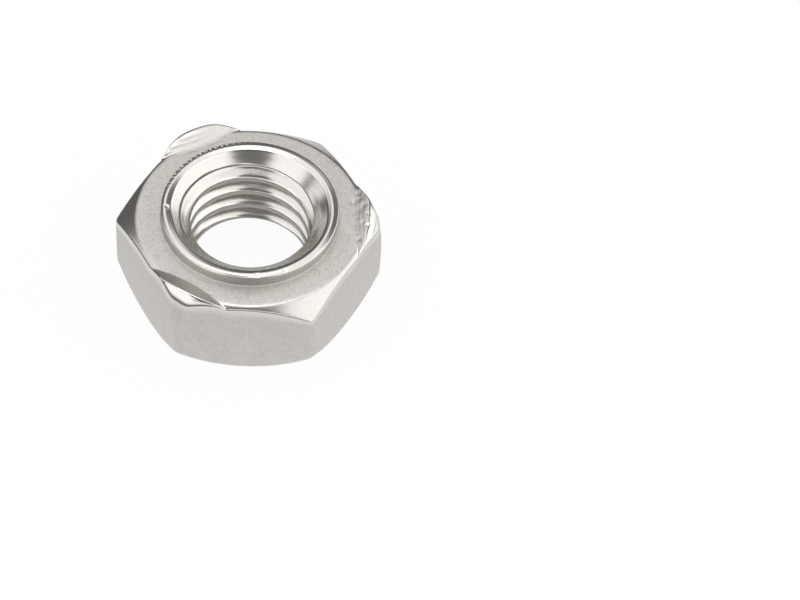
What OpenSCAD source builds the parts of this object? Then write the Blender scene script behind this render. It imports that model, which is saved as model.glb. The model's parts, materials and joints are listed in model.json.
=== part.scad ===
// Hexagon weld nut, M10 coarse thread: a pilot collar centres it in the sheet,
// and three ridges at alternate corners melt to form the weld.
// Millimetres. The origin is the centre of the plain end face, +Z runs along the
// thread axis towards the collar, and a corner with a ridge lies on +X.

/* [Hexagon] */
// Width across the flats
across_flats = 16.8; // [15:0.1:20]
// Height from the plain end face to the ring face round the collar
hex_h = 7.1; // [5.5:0.1:10]
// How far the ring face's edge lies inside the flats
ring_inset = 0.25; // [0.1:0.05:0.6]
// Slope of the corner chamfers at the ring face, from level
ring_chamfer_deg = 38; // [25:1:50]
// How far the plain end face's edge lies inside the flats
base_inset = 0.4; // [0.2:0.05:0.9]
// Slope of the corner chamfers at the plain end, from level
base_chamfer_deg = 41; // [25:1:50]

/* [Pilot collar] */
// Outer diameter of the collar
collar_d = 12.7; // [11.5:0.1:14]
// Height of the collar's crest above the ring face
collar_h = 1; // [0.7:0.05:1.6]
// Width of the collar's rim, from its outside to the mouth of the hole
rim_w = 0.75; // [0.55:0.05:1]
// How far the rim's crest lies inside the collar's outside
rim_crest_inset = 0.35; // [0.15:0.05:0.5]
// Slope of the rim on both sides of its crest, from level
rim_deg = 19; // [5:1:28]

/* [Threaded hole] */
// Diameter of the hole at the thread's crests
thread_minor_d = 8.5; // [7.5:0.1:9.2]
// Half angle of the countersink at each end of the hole
sink_half_deg = 45; // [40:1:60]
// Depth of the countersink at the plain end
base_sink = 1.8; // [0.8:0.1:2.2]

/* [Weld projections] */
// Height of a ridge's crest above the ring face
ridge_h = 0.5; // [0.3:0.02:0.8]
// Distance from the hexagon's corner in to the foot of a ridge
ridge_depth = 2; // [1.6:0.05:2.4]
// Slope of a ridge's inner side, from level
ridge_inner_deg = 24; // [20:1:36]
// Slope of a ridge's outer side, from level
ridge_outer_deg = 46; // [40:1:65]
// Radius of a ridge's crest, seen along the axis
ridge_curve_r = 3.7; // [3.2:0.1:6]
// How far the corner under a ridge is drawn in, at the ring face
corner_draw = 0.45; // [0.2:0.01:0.8]
// Lean of the drawn corner, from upright
corner_draw_deg = 10; // [6:1:16]

/* [Hidden] */
$fn = 96;
steel = [0.76, 0.74, 0.71];
corner_step = 120;
corner_r = across_flats / 2 / cos(30);
ring_r = across_flats / 2 - ring_inset;
base_r = across_flats / 2 - base_inset;
collar_r = collar_d / 2;
mouth_r = collar_r - rim_w;
minor_r = thread_minor_d / 2;
top_z = hex_h + collar_h;
// Cuts and blanks run on past the body by over
over = 1;
past_r = corner_r + over;
past_z = top_z + over;
// The rim falls to the collar's outside and to the mouth of the hole
rim_fall = tan(rim_deg);
rim_crest_r = collar_r - rim_crest_inset;
mouth_z = top_z - (rim_crest_r - mouth_r) * rim_fall;
// A ridge's inner side and its outer cone meet at the crest
foot_r = corner_r - ridge_depth;
crest_r = foot_r + ridge_h / tan(ridge_inner_deg);
crest_z = hex_h + ridge_h;
// The ridges and the collar run down to root_z, inside the body
root_z = hex_h / 2;

// Six-sided bar with a corner on +X
module hex_bar() {
    linear_extrude(past_z) circle(r = corner_r, $fn = 6);
}

// Turned outline that bounds the bar: plain end, both chamfer cones and ring face
module turned_outline() {
    rotate_extrude() polygon([
        [0, 0],
        [base_r, 0],
        [past_r, (past_r - base_r) * tan(base_chamfer_deg)],
        [past_r, hex_h - (past_r - ring_r) * tan(ring_chamfer_deg)],
        [ring_r, hex_h],
        [0, hex_h]
    ]);
}

// Room that one ridge may fill on +X: its inner slope, run along the ridge
module ridge_slope() {
    rotate([90, 0, 0]) linear_extrude(past_z * 2, center = true) polygon([
        [foot_r, root_z],
        [past_r, root_z],
        [past_r, hex_h + (past_r - foot_r) * tan(ridge_inner_deg)],
        [foot_r, hex_h]
    ]);
}

// Cone round the axis of one ridge on +X: its outer side and the curve of its crest
module ridge_cone() {
    run = 1 / tan(ridge_outer_deg);
    translate([crest_r - ridge_curve_r, 0, root_z]) cylinder(
        h = past_z - root_z,
        r1 = ridge_curve_r + (crest_z - root_z) * run,
        r2 = ridge_curve_r - (past_z - crest_z) * run
    );
}

// One ridge on +X, before the bar's sides bound it
module ridge() {
    intersection() {
        ridge_slope();
        ridge_cone();
    }
}

// What the forging die keeps off the corner under the ridge on +X
module corner_cut() {
    translate([corner_r - corner_draw, 0, hex_h])
        rotate([0, -corner_draw_deg, 0])
            translate([0, -past_z, -past_z])
                cube(past_z * 2);
}

// Hexagon with its chamfers, ridges and drawn corners
module hexagon() {
    difference() {
        intersection() {
            hex_bar();
            union() {
                turned_outline();
                for (a = [0:corner_step:359]) rotate(a) ridge();
            }
        }
        for (a = [0:corner_step:359]) rotate(a) corner_cut();
    }
}

// Collar whose rim rises to a crest, rooted in the hexagon
module collar() {
    rotate_extrude() polygon([
        [0, root_z],
        [collar_r, root_z],
        [collar_r, top_z - rim_crest_inset * rim_fall],
        [rim_crest_r, top_z],
        [0, top_z - rim_crest_r * rim_fall]
    ]);
}

// Hole at the thread's crests, opened by a countersink at each end
module threaded_hole() {
    widen = tan(sink_half_deg);
    rotate_extrude() polygon([
        [0, -over],
        [minor_r + (base_sink + over) * widen, -over],
        [minor_r, base_sink],
        [minor_r, mouth_z - (mouth_r - minor_r) / widen],
        [mouth_r + (past_z - mouth_z) * widen, past_z],
        [0, past_z]
    ]);
}

module weld_nut() {
    color(steel) difference() {
        union() {
            hexagon();
            collar();
        }
        threaded_hole();
    }
}

weld_nut();
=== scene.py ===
# %% [markdown]
# # A hexagon weld nut
# This nut is pressed against a sheet and welded there. A low collar centres it in
# the sheet's hole, and a ridge at every second corner melts to make the weld. The
# body is one piece of steel: forged, turned at both ends, tapped and tumbled.
# The imported solid gives the real sizes, so it is loaded first and measured. The
# dressed nut has to stay inside it.

# %% Load the imported frame
import json
from math import atan, cos, pi, radians, sin, tan

import bpy
import numpy as np
from mathutils import Matrix, Vector


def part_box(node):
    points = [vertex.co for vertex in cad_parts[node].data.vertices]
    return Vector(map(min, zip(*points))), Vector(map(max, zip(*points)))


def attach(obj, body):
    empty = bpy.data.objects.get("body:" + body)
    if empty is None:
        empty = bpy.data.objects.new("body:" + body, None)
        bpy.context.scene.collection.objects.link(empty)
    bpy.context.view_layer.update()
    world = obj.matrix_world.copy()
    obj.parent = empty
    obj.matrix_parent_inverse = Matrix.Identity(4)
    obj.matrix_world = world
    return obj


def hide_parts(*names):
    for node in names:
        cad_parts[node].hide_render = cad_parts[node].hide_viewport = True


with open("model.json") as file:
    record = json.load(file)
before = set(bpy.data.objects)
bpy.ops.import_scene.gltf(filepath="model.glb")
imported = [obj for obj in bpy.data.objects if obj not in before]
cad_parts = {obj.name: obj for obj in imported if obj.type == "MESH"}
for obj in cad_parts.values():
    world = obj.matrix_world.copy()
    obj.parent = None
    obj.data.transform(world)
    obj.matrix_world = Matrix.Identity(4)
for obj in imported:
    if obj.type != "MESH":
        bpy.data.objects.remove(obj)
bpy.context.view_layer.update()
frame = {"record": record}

# %% [markdown]
# ## Sizes
# A maker would read these from the drawing. What the frame knows is taken from it:
# the box gives the flats and the full height, and two mounts give the collar and
# the hole at the thread's crests. The rest are drawing values in millimetres, which
# are easier to picture than metres on a part this small, so one factor turns the
# finished points into metres.

# %% Read the driving sizes
MM = 0.001
MOUNTS = {mount["name"]: mount["dims"] for mount in frame["record"]["mounts"]}
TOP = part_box("weld_nut")[1].z / MM
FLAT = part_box("weld_nut")[1].y / MM
CORNER = FLAT / cos(pi / 6)
COLLAR_R = MOUNTS["pilot"]["r_mm"]
CREST_R = MOUNTS["thread"]["r_mm"]

# the ring face and its chamfer, the plain end's chamfer, the collar's roofed rim
RING_Z = 7.1
RING_R = FLAT - 0.25
RING_SLOPE = tan(radians(38))
BASE_R = FLAT - 0.4
BASE_SLOPE = tan(radians(41))
RIM_R = COLLAR_R - 0.35
RIM_SLOPE = tan(radians(19))
EAVE_Z = TOP - (COLLAR_R - RIM_R) * RIM_SLOPE

# the mouths of the hole
MOUTH_R = COLLAR_R - 0.75
MOUTH_Z = TOP - (RIM_R - MOUTH_R) * RIM_SLOPE
BASE_MOUTH_R = CREST_R + 1.8

driving = {"flats": 2 * FLAT, "height": TOP, "collar": 2 * COLLAR_R, "hole": 2 * CREST_R}
print("sizes in mm:", {name: round(size, 2) for name, size in driving.items()})

# %% [markdown]
# ## Rounded edges
# No edge on a tumbled nut is sharp: each one catches a thin line of light. Bevel
# modifiers could round them, but here every surface is a formula, so two formulas
# can be blended before any face exists. A hinge that bends softly gives a soft
# larger-of-two for inside corners, and a soft smaller-of-two for outside edges.

# %% Soft choices between two surfaces
def hinge(x, soft):
    """Nought left of 0 and x right of it, the bend spread over about soft:
    half the sum of x and the root of x squared plus soft squared."""
    return (x + np.sqrt(x * x + soft * soft)) / 2


def larger(a, b, soft):
    """The larger of two surfaces, with a fillet: a plus the hinge of b minus a."""
    return a + hinge(b - a, soft)


def smaller(a, b, soft):
    """The smaller of two surfaces, with a rounded edge: a less the hinge of a minus b."""
    return a - hinge(a - b, soft)


print(f"a sharp corner of 90 degrees loses {hinge(0.0, 0.1):.3f} mm at a softness of 0.1")

# %% [markdown]
# ## Six sides
# The bar is drawn to a hexagon with small rounded corners. A cylinder with six
# segments would give the flats but not the corners, so the distance from the axis
# is written for any angle. Under each ridge the forging die has pulled the corner
# in a little. That is a plane leaning out towards the plain end, and the softly
# smaller of the two distances is the side.

# %% Distance from the axis to the sides
CORNER_ROUND = 0.6
RIDGE_STEP = 2 * pi / 3
DRAW = np.array([0.39, 0.45, 0.45])
DRAW_LEAN = tan(radians(10))
DRAW_SOFT = 0.16


def hexagon(angle):
    """The flat's distance over the cosine of the angle off its middle. Near a corner
    it is the far crossing of the ray with an arc that touches both flats."""
    off_flat = np.abs(np.mod(angle, pi / 3) - pi / 6)
    off_corner = pi / 6 - off_flat
    centre = (FLAT - CORNER_ROUND) / cos(pi / 6)
    reach = np.maximum(CORNER_ROUND**2 - (centre * np.sin(off_corner)) ** 2, 0)
    arc = centre * np.cos(off_corner) + np.sqrt(reach)
    touch = atan(centre * sin(pi / 6) / FLAT)
    return np.where(off_flat < touch, FLAT / np.cos(off_flat), arc)


def off_ridge(angle):
    """The angle from the nearest ridge, from minus 60 to 60 degrees."""
    return np.mod(angle + RIDGE_STEP / 2, RIDGE_STEP) - RIDGE_STEP / 2


def strike(angle):
    """Which of the three ridges is nearest: 0, 1 or 2."""
    return np.mod(np.rint(angle / RIDGE_STEP), 3).astype(int)


def side(angle, z):
    """The hexagon, or nearer the axis the leaning plane that draws in a ridge's corner."""
    plane = CORNER - DRAW[strike(angle)] + (RING_Z - z) * DRAW_LEAN
    return smaller(hexagon(angle), plane / np.cos(off_ridge(angle)), DRAW_SOFT)


corners = hexagon(np.array(pi / 3)), side(np.array(0.0), RING_Z)
print("plain and drawn-in corner at", [f"{reach:.3f}" for reach in corners], "mm")

# %% [markdown]
# ## Welding ridges
# A ridge is what the die pushes up at a corner: a slope rising outwards to a curved
# crest, and a steeper cone falling from there. Seen from above its inner side is a
# lens between a slightly bowed foot and that curve. Cutting and joining solids would
# leave sharp seams here. As heights over the ring face, the ridge is the softly
# smaller of its faces. No two strikes of the die are alike, so each ridge has its
# own few sizes.

# %% Height of a ridge
# one value for each ridge, round the axis from the right
RIDGE_RISE = np.array([0.37, 0.58, 0.65])
CREST_OUT = CORNER - np.array([1.27, 1.13, 1.06])
FOOT_OUT = CORNER - np.array([2.20, 2.05, 2.26])
OUTER_SLOPE = np.tan(np.radians([35, 46, 51]))
RIDGE_CURVE = np.array([8.0, 5.2, 4.35])
SHIFT = np.array([0.80, -0.11, -0.38])
CREST_SOFT = np.array([0.10, 0.26, 0.10])
FOOT_BOW = np.array([0.03, 0.03, 0.05])
STREAK = np.array([0.006, 0.010, 0.0])

STREAK_STEP = 0.32
FOOT_WALL = tan(radians(60))
FOOT_SOFT = 0.04


def ridge_faces(angle, r):
    """Heights over the ring face of a ridge's inner slope and of a cone round the ridge's
    own axis. The slope starts at a foot that bows with the square of the way along it, and
    carries the die's streaks as a low sine. Short of the foot it drops steeply, which ends
    the ridge at the chamfers."""
    which = strike(angle)
    out = r * np.cos(off_ridge(angle))
    along = r * np.sin(off_ridge(angle)) - SHIFT[which]
    run = out - FOOT_OUT[which] - FOOT_BOW[which] * along**2
    climb = RIDGE_RISE[which] / (CREST_OUT[which] - FOOT_OUT[which])
    streak = STREAK[which] * np.sin(2 * pi * run / STREAK_STEP)
    inner = smaller(run * climb + streak, run * FOOT_WALL, FOOT_SOFT)
    curve = RIDGE_CURVE[which]
    reach = np.hypot(out - CREST_OUT[which] + curve, along) - curve
    cone = RIDGE_RISE[which] + CREST_SOFT[which] - reach * OUTER_SLOPE[which]
    return inner, cone


def ridge(angle, r):
    """The softly smaller of a ridge's two faces, over the ring face."""
    inner, cone = ridge_faces(angle, r)
    return RING_Z + smaller(inner, cone, CREST_SOFT[strike(angle)])


print("ridges from foot to crest:", (CREST_OUT - FOOT_OUT).round(2), "mm")

# %% [markdown]
# ## Marks of the die and the tumbler
# The edge of the die left a shallow line beside the foot of two ridges, and nuts knock
# together in the tumbler, which leaves small dents. A bump in the material could draw
# them, but then they would be missing from the mesh. They are depths to take off the
# surface: a long bell for the line, and a round one for each dent.

# %% Depth of the marks
DIE_LINE = np.array([0.04, 0.02, 0.0])
DIE_LINE_OFF = 0.22
DIE_LINE_HALF = 0.06
DIE_LINE_REACH = 1.8
# angle in degrees, radius, depth, size
DENTS = np.array([
    (13.5, 7.55, 0.035, 0.20),
    (18.6, 8.10, 0.050, 0.17),
    (15.0, 8.05, 0.040, 0.24),
    (7.5, 7.95, 0.030, 0.30),
    (2.0, 7.70, 0.020, 0.12),
    (-1.5, 8.10, 0.035, 0.22),
    (-8.5, 7.75, 0.018, 0.11),
    (-12.0, 8.05, 0.040, 0.19),
    (10.0, 8.30, 0.045, 0.21),
    (-3.4, 8.42, 0.070, 0.13),
    (3.8, 8.45, 0.045, 0.15),
    (182.0, 5.95, 0.070, 0.14),
    (277.4, 6.17, 0.060, 0.12),
    (296.0, 6.20, 0.040, 0.10),
    (251.0, 7.60, 0.020, 0.12),
    (88.0, 7.30, 0.015, 0.16),
    (305.0, 7.40, 0.015, 0.14),
    (168.0, 7.70, 0.015, 0.15),
])


def die_line(angle, r):
    """The depth of the line beside a ridge's foot: a bell across it, faded at its ends."""
    which = strike(angle)
    off = (r * np.cos(off_ridge(angle)) - FOOT_OUT[which] + DIE_LINE_OFF) / DIE_LINE_HALF
    along = r * np.sin(off_ridge(angle)) / DIE_LINE_REACH
    return DIE_LINE[which] * np.exp(-off * off - along**4)


def dents(angle, r):
    """The summed depth of the knocks: round each one's place, a bell of its own size."""
    turn = np.radians(DENTS[:, 0])
    x = (r * np.cos(angle))[..., None] - DENTS[:, 1] * np.cos(turn)
    y = (r * np.sin(angle))[..., None] - DENTS[:, 1] * np.sin(turn)
    bells = np.exp(-(x * x + y * y) / DENTS[:, 3] ** 2)
    return (DENTS[:, 2] * bells).sum(-1)


print(f"{len(DENTS)} dents, up to {DENTS[:, 2].max():.2f} mm deep")

# %% [markdown]
# ## Ring face, chamfers and plain end
# The end round the collar is turned flat and its corners are chamfered, so each
# chamfer is a piece of one cone. The ridges join this form by the softly larger
# height, which leaves a small fillet at their feet, and the marks come off last. The
# plain end has only its chamfer.

# %% Height of the two ends
RING_SOFT = 0.11


def plain(r):
    """The ring face, hinged down into the chamfer cone at its edge."""
    return RING_Z - RING_SLOPE * hinge(r - RING_R, RING_SOFT)


def upper(angle, r):
    """The softly larger of the plain end and the ridges, less the die's line and the knocks."""
    formed = larger(plain(r), ridge(angle, r), FOOT_SOFT)
    return formed - die_line(angle, r) - dents(angle, r)


def lower(r):
    """The plain end at nought, hinged up into its own chamfer cone."""
    return BASE_SLOPE * hinge(r - BASE_R, RING_SOFT)


crests = upper(np.arange(3) * RIDGE_STEP, CREST_OUT)
print("ridge crests at", [f"{height:.3f}" for height in crests], "mm")

# %% [markdown]
# ## Threaded hole
# A coarse M10 thread climbs 1.5 mm a turn. The Screw modifier can sweep a thread,
# but it has to be joined to the countersinks afterwards. Here the hole is a radius
# for each angle and height: a groove that repeats along a height sheared by the
# pitch, opened by a cone at each end. The softly larger radius gives the thread its
# true run-out on the cones.

# %% Radius of the hole
PITCH = 1.5
ROOT_R = CREST_R + 0.75
ROOT_HALF = 0.094
FLANK = tan(radians(30))
GROOVE_Z = 0.56
THREAD_SOFT = 0.05
SINK_SOFT = 0.03
WAVE = 0.007
WAVE_STEP = 0.62


def thread(angle, z):
    """The groove's depth falls along 60-degree flanks from its flat root to the crest.
    Its place along the axis climbs one pitch a turn, right-handed."""
    share = np.mod((z - GROOVE_Z) / PITCH - angle / (2 * pi) + 0.5, 1) - 0.5
    flank = ROOT_R - (np.abs(share) * PITCH - ROOT_HALF) / FLANK
    return larger(smaller(flank, ROOT_R, THREAD_SOFT), CREST_R, THREAD_SOFT)


def hole(angle, z):
    """The softly largest of the thread and the two countersinks at 45 degrees. The tool
    chattered in the upper one and left low waves round it: a sine of the depth."""
    depth = MOUTH_Z - z
    upper_sink = MOUTH_R - depth + WAVE * np.sin(2 * pi * depth / WAVE_STEP)
    base_sink = BASE_MOUTH_R - z
    return larger(larger(thread(angle, z), upper_sink, SINK_SOFT), base_sink, SINK_SOFT)


print(f"hole {2 * CREST_R:.2f} mm at the crests, {2 * ROOT_R:.2f} mm at the roots")

# %% [markdown]
# ## One closed section, carried round the axis
# Walk once round the nut's section: out along the plain end, up the side, in over
# the ring face, up and over the collar, and down the hole. Each stretch is a batch
# of rows, and each row is a ring of points at all the angles at once. Straight
# stretches and rounded edges need only two small functions. The angles crowd
# together at the six corners, where the surface turns fastest.

# %% Angles and stretches
TURN_STEPS = 560
FINE_STEPS = 20001
CROWD = 4
CROWD_WIDTH = radians(1.2)


def from_corner(angle):
    """The angle from the nearest of the six corners, from minus 30 to 30 degrees."""
    return np.mod(angle + pi / 6, pi / 3) - pi / 6


def bell(off, half):
    """1 in the middle, falling to both sides: e to minus the square of off over half."""
    return np.exp(-((off / half) ** 2))


def crowded_angles(count):
    """Angles round the axis whose density is 1, plus a bell at each corner: the running
    sum of that density is read backwards at even steps."""
    fine = np.linspace(0, 2 * pi, FINE_STEPS)
    density = 1 + CROWD * bell(from_corner(fine), CROWD_WIDTH)
    running = np.concatenate([[0], np.cumsum((density[1:] + density[:-1]) / 2)])
    return np.interp(np.arange(count) * running[-1] / count, running, fine)


def ring(r, z):
    """One row: radius and height at every angle."""
    return np.stack(np.broadcast_arrays(r, z, ANGLE)[:2], -1).astype(float)


def steps(count):
    """Shares of the way along a stretch, its end left out."""
    return (np.arange(count) / count)[:, None, None]


def stretch(start, end, count):
    """Rows on a straight line: start plus the share of the way to end."""
    return start + (end - start) * steps(count)


def bend(start, knee, end, count):
    """Rows on a rounded edge: the quadratic curve pulled from start to end by its knee."""
    t = steps(count)
    return (1 - t) ** 2 * start + 2 * t * (1 - t) * knee + t**2 * end


ANGLE = crowded_angles(TURN_STEPS)
apart = np.degrees(np.diff(ANGLE))
print(f"{TURN_STEPS} angles, {apart.min():.2f} to {apart.max():.2f} degrees apart")

# %% [markdown]
# ## Edges of the sides
# The upper edge of the side is where the chamfer meets a flat that itself leans, so
# its height is found by stepping back and forth between the two formulas. They
# settle in a few steps because both slopes are gentle. Both edges are rounded, and
# more so at the corners, where knocks wear them most.

# %% Find the edges
EDGE = 0.14
CREST_WEAR = 0.08
CREST_WEAR_HALF = radians(9)
BASE_EDGE = 0.18
BASE_WEAR = 0.3
BASE_WEAR_HALF = radians(7)
SETTLE_STEPS = 8

crest_edge = EDGE + CREST_WEAR * bell(off_ridge(ANGLE), CREST_WEAR_HALF)
base_edge = BASE_EDGE + BASE_WEAR * bell(from_corner(ANGLE), BASE_WEAR_HALF)
base_z = lower(hexagon(ANGLE))
edge_z = np.full(TURN_STEPS, RING_Z - 1)
for settle in range(SETTLE_STEPS):
    edge_z = upper(ANGLE, side(ANGLE, edge_z))
edge_r = side(ANGLE, edge_z)
print(f"sides end {edge_z.min():.2f} to {edge_z.max():.2f} mm above the plain end")

# %% [markdown]
# ## Rings where the section turns
# Each corner of the section gets a ring of points on either side of it, set back by
# the size of the rounding there. Rings on a formed surface are dropped on to it. The
# tool that turned the collar tore its outer roof a little over part of the way round:
# two sets of fine waves under a broad bell. Its rim was turned a hair off centre, so
# the roof is wider on one side than on the other.

# %% Place the rings
FOOT = 0.08
EAVE_LIP = 0.06
LIP = 0.1
LIP_IN = 0.1
RIDGE_FIELD_R = 7.4
RIM_SWAY = 0.1
RIM_SWAY_TURN = radians(45)
BURR = 0.08
BURR_MID = radians(128)
BURR_HALF = radians(38)
BURR_WAVES = (131, 89)


def on_lower(rows):
    """Rows dropped on to the plain end and its chamfer."""
    return np.stack([rows[..., 0], lower(rows[..., 0])], -1)


def on_upper(rows):
    """Rows dropped on to the ring face, chamfers and ridges."""
    return np.stack([rows[..., 0], upper(ANGLE, rows[..., 0])], -1)


def on_side(rows):
    """Rows pushed out to the sides."""
    return np.stack([side(ANGLE, rows[..., 1]), rows[..., 1]], -1)


def in_hole(rows):
    """Rows pushed out to the thread and countersinks."""
    return np.stack([hole(ANGLE, rows[..., 1]), rows[..., 1]], -1)


torn = np.exp(-(((ANGLE - BURR_MID) / BURR_HALF) ** 4))
waves = np.sin(BURR_WAVES[0] * ANGLE) + np.sin(BURR_WAVES[1] * ANGLE)
burr = BURR * torn * (waves - 2) / 4
rim_r = RIM_R - RIM_SWAY * np.cos(ANGLE - RIM_SWAY_TURN)
base_in = on_lower(ring(BASE_MOUTH_R + EDGE, 0))
base_out = on_lower(ring(hexagon(ANGLE) - base_edge, 0))
side_low = on_side(ring(0, base_z + base_edge))
side_high = on_side(ring(0, edge_z - crest_edge))
field_out = on_upper(ring(edge_r - crest_edge, 0))
field_mid = on_upper(ring(RIDGE_FIELD_R, 0))
field_in = on_upper(ring(COLLAR_R + FOOT, 0))
wall_low = ring(COLLAR_R, RING_Z + FOOT)
wall_high = ring(COLLAR_R, EAVE_Z - EAVE_LIP)
roof_low = ring(COLLAR_R - EAVE_LIP, EAVE_Z + EAVE_LIP * RIM_SLOPE + burr / 2)
roof_high = ring(rim_r + LIP, TOP - LIP * RIM_SLOPE + burr)
rim_high = ring(rim_r - LIP, TOP - LIP * RIM_SLOPE)
rim_low = ring(MOUTH_R + LIP, MOUTH_Z + LIP * RIM_SLOPE)
hole_high = in_hole(ring(0, MOUTH_Z - LIP_IN))
hole_low = in_hole(ring(0, EDGE))
print(f"rim torn by up to {-burr.min():.3f} mm, its radius sways by {np.ptp(rim_r):.2f} mm")

# %% [markdown]
# ## Rows between the rings
# Each stretch has its rows and its polish, from 0 for satin to 1 for bright, which the
# material will read. One number does for most of them. The ridge field holds three
# kinds of face and the hole two, so theirs is worked out point by point.

# %% Rows and polish of the section
FIELD_ROWS = 26
HOLE_ROWS = 96
CHAMFER_POLISH = 0.65
INNER_POLISH = 0.35
OUTER_POLISH = 1.0
POLISH_DEPTH = 0.09
SINK_POLISH = 0.78


def knocked(rows):
    """Rows of the rim, lowered by the knocks."""
    return np.stack([rows[..., 0], rows[..., 1] - dents(ANGLE, rows[..., 0])], -1)


def field_polish(rows):
    """The polish of the face at each point, growing with the surface's drop or rise from
    the ring face over a rounded edge's depth."""
    inner, cone = ridge_faces(ANGLE, rows[..., 0])
    proud = RING_Z + np.minimum(inner, cone) > plain(rows[..., 0])
    face = np.where(cone < inner, OUTER_POLISH, INNER_POLISH)
    away = np.abs(rows[..., 1] - RING_Z) / POLISH_DEPTH
    return np.where(proud, face, CHAMFER_POLISH) * np.clip(away, 0, 1)


def hole_polish(rows):
    """That of the countersink above the cone's foot, and 1 in the thread below it."""
    sink_foot = MOUTH_Z - (MOUTH_R - CREST_R)
    return np.where(rows[..., 1] > sink_foot, SINK_POLISH, 1)


field_rows = on_upper(stretch(field_out, field_mid, FIELD_ROWS))
hole_rows = in_hole(stretch(hole_high, hole_low, HOLE_ROWS))
STRETCHES = {
    "plain end": (on_lower(stretch(base_in, base_out, 10)), 0),
    "base edge": (bend(base_out, ring(hexagon(ANGLE), base_z), side_low, 4), 0.3),
    "flats": (on_side(stretch(side_low, side_high, 8)), 0),
    "chamfer edge": (bend(side_high, ring(edge_r, edge_z), field_out, 4), 0.7),
    "ridge field": (field_rows, field_polish(field_rows)),
    "ring face": (on_upper(stretch(field_mid, field_in, 4)), 0),
    "collar foot": (bend(field_in, ring(COLLAR_R, RING_Z), wall_low, 4), 0),
    "collar wall": (stretch(wall_low, wall_high, 3), 0),
    "outer lip": (bend(wall_high, ring(COLLAR_R, EAVE_Z), roof_low, 4), 1),
    "outer roof": (knocked(stretch(roof_low, roof_high, 3)), 1),
    "rim crest": (knocked(bend(roof_high, ring(rim_r, TOP), rim_high, 3)), 1),
    "inner roof": (knocked(stretch(rim_high, rim_low, 2)), 1),
    "inner lip": (bend(rim_low, ring(MOUTH_R, MOUTH_Z), hole_high, 4), 1),
    "hole": (hole_rows, hole_polish(hole_rows)),
    "base lip": (bend(hole_low, ring(BASE_MOUTH_R, 0), base_in, 3), 0.6),
}
section = np.concatenate([rows for rows, share in STRETCHES.values()])
shares = [np.broadcast_to(share, rows.shape[:2]) for rows, share in STRETCHES.values()]
polish = np.concatenate(shares)
print(len(section), "rows:", {name: len(rows) for name, (rows, share) in STRETCHES.items()})

# %% [markdown]
# ## The mesh
# The rows close on themselves both ways, round the axis and round the section, so
# the surface is a ring like a doughnut's: no seams, no poles and no open edge. One
# array of four indices per face says which points it joins. The polish is stored at
# each point, for the material to read.

# %% Build the nut
def make_piece(name, points, polish):
    """A mesh from a grid of points that closes on itself in both directions."""
    across, along = points.shape[:2]
    index = np.arange(across * along).reshape(across, along)
    onward = np.roll(index, -1, axis=1)
    above = np.roll(index, -1, axis=0)
    above_onward = np.roll(onward, -1, axis=0)
    quads = np.stack([index, onward, above_onward, above], -1).reshape(-1, 4)
    mesh = bpy.data.meshes.new(name)
    mesh.from_pydata(points.reshape(-1, 3), [], quads)
    mesh.polygons.foreach_set("use_smooth", np.ones(len(quads), bool))
    store = mesh.attributes.new("polish", "FLOAT", "POINT")
    store.data.foreach_set("value", polish.ravel().astype(np.float32))
    piece = bpy.data.objects.new(name, mesh)
    bpy.context.scene.collection.objects.link(piece)
    return piece


r, z = section[..., 0], section[..., 1]
points = np.stack([r * np.cos(ANGLE), r * np.sin(ANGLE), z], -1) * MM
nut = make_piece("forged_nut", points, polish)
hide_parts("weld_nut")
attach(nut, "root")
print(f"{nut.name}: {len(nut.data.vertices)} points, {2 * len(nut.data.polygons)} triangles")

# %% [markdown]
# ## Shader sums as expressions
# A finish is a sum of small effects, and wiring dozens of Math nodes by hand hides
# the sum. This class wraps one socket. Operators between wrapped sockets add the
# Math node that they stand for, and one method adds any other kind of node. The
# reflected forms let a plain number come first, as in 1 - mask.

# %% A socket that can be added and multiplied
class Wire:
    """One shader value on its way from a node to a socket."""

    def __init__(self, tree, socket=None):
        self.tree = tree
        self.socket = socket

    def node(self, kind, settings=None, sockets=None, out=0):
        """Adds a node: its settings first, then the values or links of its sockets."""
        made = self.tree.nodes.new(kind)
        for name, value in (settings or {}).items():
            setattr(made, name, value)
        for key, value in (sockets or {}).items():
            if isinstance(value, Wire):
                self.tree.links.new(value.socket, made.inputs[key])
            else:
                made.inputs[key].default_value = value
        return Wire(self.tree, made.outputs[out]) if made.outputs else None

    def math(self, operation, *terms):
        """Adds a Math node that works on the terms in their order."""
        return self.node("ShaderNodeMath", {"operation": operation}, dict(enumerate(terms)))

    def __add__(self, other):
        return self.math("ADD", self, other)

    def __sub__(self, other):
        return self.math("SUBTRACT", self, other)

    def __rsub__(self, other):
        return self.math("SUBTRACT", other, self)

    def __mul__(self, other):
        return self.math("MULTIPLY", self, other)

    def __pow__(self, other):
        return self.math("POWER", self, other)

    def __abs__(self):
        return self.math("ABSOLUTE", self)

    __radd__ = __add__
    __rmul__ = __mul__


def blank(owner):
    """An empty node tree on a material or world, ready for its first wire."""
    owner.use_nodes = True
    owner.node_tree.nodes.clear()
    return Wire(owner.node_tree)


def fade(value, start, stop):
    """Nought before start, 1 after stop, and a smooth rise between them."""
    rise = {"Value": value, "From Min": start, "From Max": stop}
    return value.node("ShaderNodeMapRange", {"interpolation_type": "SMOOTHSTEP"}, rise)


def split(vector):
    """The x, y and z of a vector, as three values from one node."""
    first = vector.node("ShaderNodeSeparateXYZ", None, {0: vector})
    return [Wire(vector.tree, output) for output in first.socket.node.outputs]


print("shader helper ready")

# %% [markdown]
# ## Tumbled steel
# The flats and the ring face are satin: the forging scale was tumbled off and left a
# fine grain. The chamfers, ridges, rim, countersinks and thread were cut or pressed
# smooth, so they are brighter and mirror the room in streaks, with faint turning
# lines round the axis. One metal shader does both, led by the stored polish. The
# grain sits on Object coordinates, so it stays on the metal from every side. It is
# calmer on the upright flats, which the drawing die had already smoothed.

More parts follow.
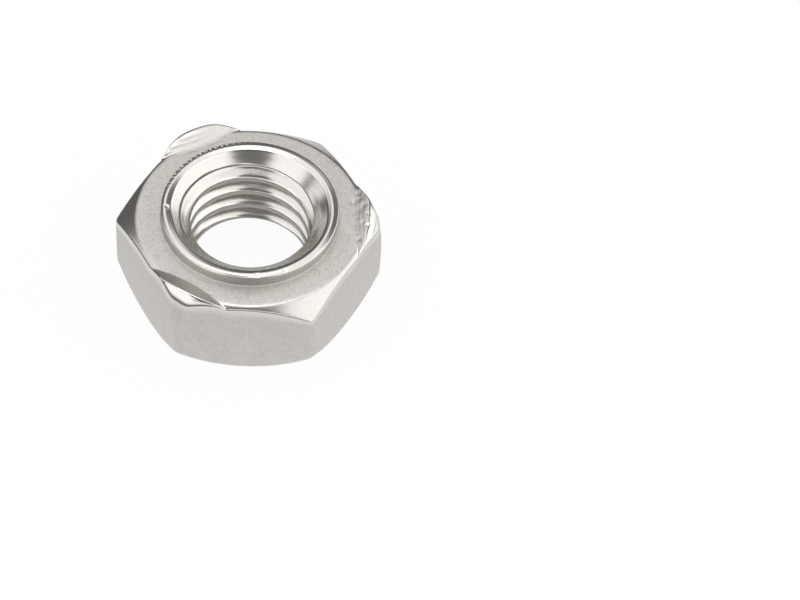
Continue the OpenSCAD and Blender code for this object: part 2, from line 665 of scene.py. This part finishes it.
# %% Steel finish
STEEL = (0.652, 0.628, 0.604, 1)
STEEL_DULL = (0.477, 0.458, 0.440, 1)
STEEL_WARM = (0.60, 0.565, 0.51, 1)
STEEL_BRIGHT = (0.76, 0.74, 0.705, 1)

# patterns in cycles a metre, and the share of each in the mottle
GRAIN_SCALE = 9000
FLECK_SCALE = 4600
CLOUD_SCALE = 1400
LINE_SCALE = 14000
LINE_LEAN = 0.5
GRAIN_SHARE = 0.55
FLECK_SHARE = 0.3
CLOUD_SHARE = 0.15
MOTTLE_SPAN = (0.36, 0.6)
MOTTLE_MIDDLE = 0.6
MOTTLE_ON_FLATS = 0.5
WARM_SPAN = (0.4, 0.7)
WARM_SHARE = 0.6

# roughness, and the bump's depth in metres
SATIN = 0.44
POLISHED = 0.14
ROUGH_SWING = 0.1
BUMP_DEPTH = 9e-6
LINE_BUMP = 0.3


def noise(start, sockets, settings=None):
    """Noise from nought to 1, of two octaves unless the sockets say otherwise."""
    return start.node("ShaderNodeTexNoise", settings, sockets, "Fac")


def tint(share, plain_colour, other):
    """Two colours mixed: share of the other one, the rest plain."""
    colours = {0: share, 6: plain_colour, 7: other}
    return share.node("ShaderNodeMix", {"data_type": "RGBA"}, colours, 2)


def steel_finish():
    """Metal whose roughness runs from satin to polished with the stored polish. Its
    mottle is drawn towards its middle where the surface stands upright. The turning
    lines are noise along the radius plus a share of the height."""
    material = bpy.data.materials.new("tumbled_steel")
    start = blank(material)
    place = start.node("ShaderNodeTexCoord", out="Object")
    polish = start.node("ShaderNodeAttribute", {"attribute_name": "polish"}, out="Fac")
    satin = 1 - polish
    x, y, z = split(place)
    along = (x * x + y * y) ** 0.5 + z * LINE_LEAN
    grain = noise(start, {"Vector": place, "Scale": GRAIN_SCALE, "Detail": 3})
    flecks = noise(start, {"Vector": place, "Scale": FLECK_SCALE})
    clouds = noise(start, {"Vector": place, "Scale": CLOUD_SCALE})
    lines = noise(start, {"W": along, "Scale": LINE_SCALE}, {"noise_dimensions": "1D"})
    level = abs(split(start.node("ShaderNodeNewGeometry", out="Normal"))[2])
    mixture = grain * GRAIN_SHARE + flecks * FLECK_SHARE + clouds * CLOUD_SHARE
    contrast = MOTTLE_ON_FLATS + (1 - MOTTLE_ON_FLATS) * level
    shade = MOTTLE_MIDDLE + (fade(mixture, *MOTTLE_SPAN) - MOTTLE_MIDDLE) * contrast
    warmth = fade(clouds, *WARM_SPAN) * level * WARM_SHARE
    dull = tint(warmth, tint(shade, STEEL_DULL, STEEL), STEEL_WARM)
    colour = tint(polish, dull, STEEL_BRIGHT)
    roughness = SATIN * satin + POLISHED * polish + (grain - 0.5) * ROUGH_SWING
    height = grain * satin + lines * polish * LINE_BUMP
    bump = {"Distance": BUMP_DEPTH, "Height": height}
    normal = start.node("ShaderNodeBump", None, bump, "Normal")
    looks = {"Base Color": colour, "Metallic": 1, "Roughness": roughness, "Normal": normal}
    metal = start.node("ShaderNodeBsdfPrincipled", None, looks)
    start.node("ShaderNodeOutputMaterial", None, {"Surface": metal})
    return material


nut.data.materials.append(steel_finish())
print("finish:", nut.data.materials[0].name, len(nut.data.materials[0].node_tree.nodes), "nodes")

# %% [markdown]
# ## Floor
# The nut stands on a pale sheet that runs out to white. To the eye and to the metal
# the sheet shines a little by itself, so it reaches white without more lamps on the
# nut. The rest of it is plain diffuse paper, which keeps the nut's soft shadow. It
# is a disc of a few nut widths, because a horizon is dark to low reflections.

# %% Pale floor
FLOOR_R = 0.042
FLOOR_STEPS = 96
PAPER = (0.9, 0.9, 0.9, 1)
WHITE = (1, 1, 1, 1)
FLOOR_GLOW = 0.955
GLOW_RISE = (FLOOR_R * 0.3, FLOOR_R * 0.95)
# in the metal: a painted shadow under the nut, a painted pool of light beside it and its dim edge
# further out, with the radii of both changes
MIRROR_GLOWS = (0.4, 0.95, 0.28)
UNDER_NUT = (0.004, 0.009)
PAST_NUT = (0.021, 0.037)


def make_floor():
    """A flat disc: one face whose points stand at even angles."""
    turn = np.arange(FLOOR_STEPS) * 2 * pi / FLOOR_STEPS
    edge = np.stack([np.cos(turn) * FLOOR_R, np.sin(turn) * FLOOR_R, turn * 0], -1)
    mesh = bpy.data.meshes.new("floor")
    mesh.from_pydata(edge, [], [np.arange(FLOOR_STEPS)])
    floor = bpy.data.objects.new("floor", mesh)
    bpy.context.scene.collection.objects.link(floor)
    return floor


def ray(start, kind):
    """A switch: 1 for a ray of this kind, and nought for any other."""
    return start.node("ShaderNodeLightPath", out=kind)


def glow(start, strength):
    """Plain white light."""
    return start.node("ShaderNodeEmission", None, {"Color": WHITE, "Strength": strength})


def overlay(share, under, over):
    """Two shaders mixed: share of the one over, the rest the one under."""
    return share.node("ShaderNodeMixShader", None, {0: share, 1: under, 2: over})


def floor_finish():
    """Diffuse paper, mixed with a white glow where it is seen. In the metal the glow is a painted
    shadow, weak under the nut, and a painted pool of light, strong beside it, that dies away
    towards the edge."""
    material = bpy.data.materials.new("pale_floor")
    start = blank(material)
    paper = start.node("ShaderNodeBsdfDiffuse", None, {"Color": PAPER})
    # the glows seen in the metal paint the nut's shadow under it and a pool of light beside it
    painted_shadow_glow, painted_pool_glow, beyond = (glow(start, strength) for strength in MIRROR_GLOWS)
    by_metal = fade(ray(start, "Is Glossy Ray") + ray(start, "Is Transmission Ray"), 0, 1)
    place = start.node("ShaderNodeTexCoord", out="Object")
    away = start.node("ShaderNodeVectorMath", {"operation": "LENGTH"}, {0: place}, "Value")
    close = overlay(fade(away, *UNDER_NUT), painted_shadow_glow, painted_pool_glow)
    mirrored = overlay(fade(away, *PAST_NUT), close, beyond)
    lit = overlay(by_metal, paper, mirrored)
    share = FLOOR_GLOW + (1 - FLOOR_GLOW) * fade(away, *GLOW_RISE)
    mixed = overlay(ray(start, "Is Camera Ray") * share, lit, glow(start, 1))
    start.node("ShaderNodeOutputMaterial", None, {"Surface": mixed})
    return material


floor = make_floor()
floor.data.materials.append(floor_finish())
print(f"floor {2 * FLOOR_R / MM:.0f} mm across")

# %% [markdown]
# ## Studio
# Polished metal is a picture of the room, so the room matters as much as the steel.
# Lamps alone would leave it black between them. The world is a small studio painted
# by bearing and height: a room that is dark at the horizon and pale above it, soft
# boxes to both sides, and dark flags where the camera and a screen stand. Bearing 0
# is the camera's side and 90 the right, in degrees. The camera itself sees white
# behind the floor. One lamp overhead casts the shadow.

# %% Light the studio
ROOM_LOW = 0.12
ROOM_HIGH = 1.09
ROOM_RISE = (24, 38)
BOX_SOFT = 5
# bearings and heights between which each box hangs, and its level
SOFT_BOXES = {
    "right": ((50, 136), (-8, 56), 1.38),
    "right front": ((31, 54), (-8, 51), 1.38),
    "left": ((-80, -24), (8, 48), 1.32),
    "far left": ((-113, -90), (11, 25), 1.2),
    "left back": ((-158, -122), (30, 52), 0.75),
    "front strip": ((-32, 32), (9, 26), 1.28),
}
SCREEN = ((126, 162), (31, 54))
SCREEN_DEPTH = 0.85
FLAG_HEIGHT = radians(50)
FLAG_EDGE = (0.908, 0.946)
FLAG_DEPTH = 0.85
DEGREES = 180 / pi
LAMP_PLACE = Vector((-0.02, 0.01, 0.3))
LAMP_SIZE = 0.16
LAMP_WATTS = 0.14


def window(value, span):
    """1 inside a span of degrees and nought outside it, with soft edges."""
    low, high = span
    rise = fade(value, low - BOX_SOFT, low + BOX_SOFT)
    return rise * (1 - fade(value, high - BOX_SOFT, high + BOX_SOFT))


def paint_studio():
    """Brightness by direction: the room, changed to each soft box's level inside it, less
    the flags."""
    world = bpy.data.worlds.new("studio")
    bpy.context.scene.world = world
    start = blank(world)
    x, y, z = split(start.node("ShaderNodeTexCoord", out="Generated"))
    bearing = start.math("ARCTAN2", x, 0 - y) * DEGREES
    height = start.math("ARCSINE", z) * DEGREES
    bright = ROOM_LOW + (ROOM_HIGH - ROOM_LOW) * fade(height, *ROOM_RISE)
    for sides, heights, level in SOFT_BOXES.values():
        bright = bright + (level - bright) * window(bearing, sides) * window(height, heights)
    screen = window(bearing, SCREEN[0]) * window(height, SCREEN[1]) * SCREEN_DEPTH
    facing = z * sin(FLAG_HEIGHT) - y * cos(FLAG_HEIGHT)
    flag = fade(facing, *FLAG_EDGE) * FLAG_DEPTH
    bright = bright * (1 - screen) * (1 - flag)
    camera = ray(start, "Is Camera Ray")
    strength = bright * (1 - camera) + camera
    light = start.node("ShaderNodeBackground", None, {"Color": WHITE, "Strength": strength})
    start.node("ShaderNodeOutputWorld", None, {"Surface": light})


def hang_lamp():
    """A square soft box at LAMP_PLACE that faces the nut's foot."""
    lamp = bpy.data.lights.new("overhead_box", "AREA")
    lamp.size = LAMP_SIZE
    lamp.energy = LAMP_WATTS
    box = bpy.data.objects.new("overhead_box", lamp)
    box.location = LAMP_PLACE
    box.rotation_euler = (-LAMP_PLACE).to_track_quat("-Z", "Y").to_euler()
    bpy.context.scene.collection.objects.link(box)
    return box


paint_studio()
overhead = hang_lamp()
bpy.context.scene.view_settings.view_transform = "Standard"
print("studio:", bpy.context.scene.world.name, "and", overhead.name)

# %% [markdown]
# ## Camera
# A long lens looks down at the nut from the front, steep enough to see through the
# hole, with the camera rolled a few degrees. The nut sits left of the middle of the
# frame, so the camera doesn't face it: the spot where the ring face's centre should
# land gives the direction from the camera to the nut, and the camera stands back from
# there. No lens shift is needed.

# %% Place the camera
FRAME_PX = (800, 600)
RING_PX = (249.8, 216.5)
LENS_PX = 2808.0
ELEVATION = radians(51.73)
TURN = radians(3.25)
ROLL = radians(5.29)
WIDTHS_AWAY = 12
DISTANCE = WIDTHS_AWAY * 2 * FLAT * MM


def place_camera():
    """Stands the camera at DISTANCE from the ring face's centre, which lands on RING_PX."""
    ahead = Vector((0, cos(ELEVATION), -sin(ELEVATION)))
    level_up = Vector((0, sin(ELEVATION), cos(ELEVATION)))
    level_right = Vector((1, 0, 0))
    right = level_right * cos(ROLL) + level_up * sin(ROLL)
    up = level_up * cos(ROLL) - level_right * sin(ROLL)
    across = (RING_PX[0] - FRAME_PX[0] / 2) / LENS_PX
    upward = (FRAME_PX[1] / 2 - RING_PX[1]) / LENS_PX
    sight = (ahead + across * right + upward * up).normalized() * DISTANCE
    axes = Matrix((right, up, -ahead)).transposed().to_4x4()
    turned = Matrix.Rotation(-TURN, 4, "Z")
    lens = bpy.data.cameras.new("camera")
    lens.sensor_fit = "HORIZONTAL"
    lens.lens = lens.sensor_width * LENS_PX / FRAME_PX[0]
    lens.clip_start = DISTANCE / 100
    camera = bpy.data.objects.new("camera", lens)
    centre = Matrix.Translation((0, 0, RING_Z * MM))
    camera.matrix_world = centre @ turned @ Matrix.Translation(-sight) @ axes
    bpy.context.scene.collection.objects.link(camera)
    return camera


bpy.context.scene.camera = place_camera()
print(f"camera {DISTANCE / MM:.0f} mm away with a {bpy.context.scene.camera.data.lens:.1f} mm lens")
